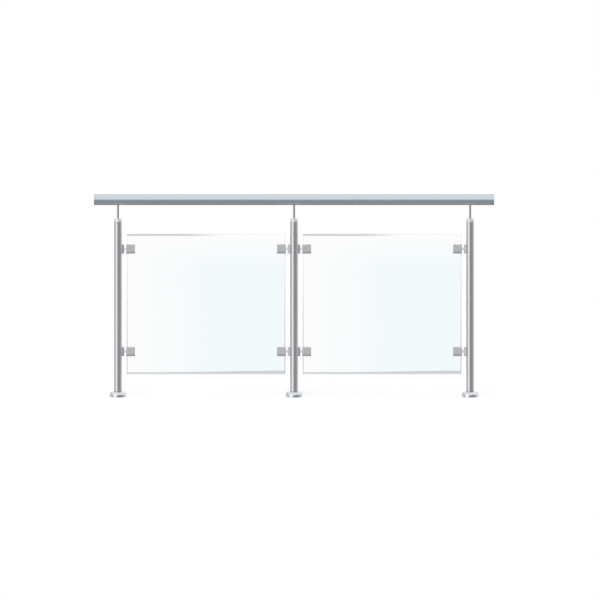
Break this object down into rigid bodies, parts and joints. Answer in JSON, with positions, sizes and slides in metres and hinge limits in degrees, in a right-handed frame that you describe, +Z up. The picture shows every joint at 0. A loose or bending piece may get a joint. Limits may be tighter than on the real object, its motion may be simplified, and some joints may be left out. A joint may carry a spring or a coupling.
{
  "type": "stainless steel railing",
  "caption": "Straight balustrade section: round handrail on thin stems over tubular posts, with clear glass panes held in square clamps and round floor flanges under covers.",
  "frame": {"origin": "on the floor under the middle post's axis, which is the middle of the whole section", "axes": "+X along the handrail, -Y the front with the clamps' cover plates, +Z up"},
  "size_m": [2.16, 0.088, 1.1],
  "materials": {
    "brushed_steel": "satin, ground along the tube",
    "polished_steel": "mirror polished",
    "clamp_steel": "satin cast",
    "screw_steel": "bright turned",
    "fixing_steel": "plain machined",
    "clear_glass": "clear toughened, polished edges",
    "gasket_rubber": "matt black",
    "bush_plastic": "natural moulded"
  },
  "bodies": {
    "root": {"handrail_tube": "brushed_steel", "handrail_end_cap_left": "brushed_steel", "handrail_end_cap_right": "brushed_steel", "rail_nut_plates": "fixing_steel", "stem_left": "brushed_steel", "post_cap_left": "polished_steel", "post_left": "brushed_steel", "base_flange_left": "fixing_steel", "base_cover_left": "polished_steel", "stem_middle": "brushed_steel", "post_cap_middle": "polished_steel", "post_middle": "brushed_steel", "base_flange_middle": "fixing_steel", "base_cover_middle": "polished_steel", "stem_right": "brushed_steel", "post_cap_right": "polished_steel", "post_right": "brushed_steel", "base_flange_right": "fixing_steel", "base_cover_right": "polished_steel", "base_grub_screws": "fixing_steel", "glass_pane_left": "clear_glass", "glass_pane_right": "clear_glass", "clamp_body_left_pane_upper_left": "clamp_steel", "clamp_cover_left_pane_upper_left": "clamp_steel", "clamp_gaskets_left_pane_upper_left": "gasket_rubber", "clamp_body_left_pane_upper_right": "clamp_steel", "clamp_cover_left_pane_upper_right": "clamp_steel", "clamp_gaskets_left_pane_upper_right": "gasket_rubber", "clamp_body_left_pane_lower_left": "clamp_steel", "clamp_cover_left_pane_lower_left": "clamp_steel", "clamp_gaskets_left_pane_lower_left": "gasket_rubber", "clamp_body_left_pane_lower_right": "clamp_steel", "clamp_cover_left_pane_lower_right": "clamp_steel", "clamp_gaskets_left_pane_lower_right": "gasket_rubber", "clamp_body_right_pane_upper_left": "clamp_steel", "clamp_cover_right_pane_upper_left": "clamp_steel", "clamp_gaskets_right_pane_upper_left": "gasket_rubber", "clamp_body_right_pane_upper_right": "clamp_steel", "clamp_cover_right_pane_upper_right": "clamp_steel", "clamp_gaskets_right_pane_upper_right": "gasket_rubber", "clamp_body_right_pane_lower_left": "clamp_steel", "clamp_cover_right_pane_lower_left": "clamp_steel", "clamp_gaskets_right_pane_lower_left": "gasket_rubber", "clamp_body_right_pane_lower_right": "clamp_steel", "clamp_cover_right_pane_lower_right": "clamp_steel", "clamp_gaskets_right_pane_lower_right": "gasket_rubber", "glass_bushes": "bush_plastic", "clamp_screws": "screw_steel", "post_fixing_screws": "fixing_steel", "post_rivet_nuts": "fixing_steel"}
  },
  "joints": []
}
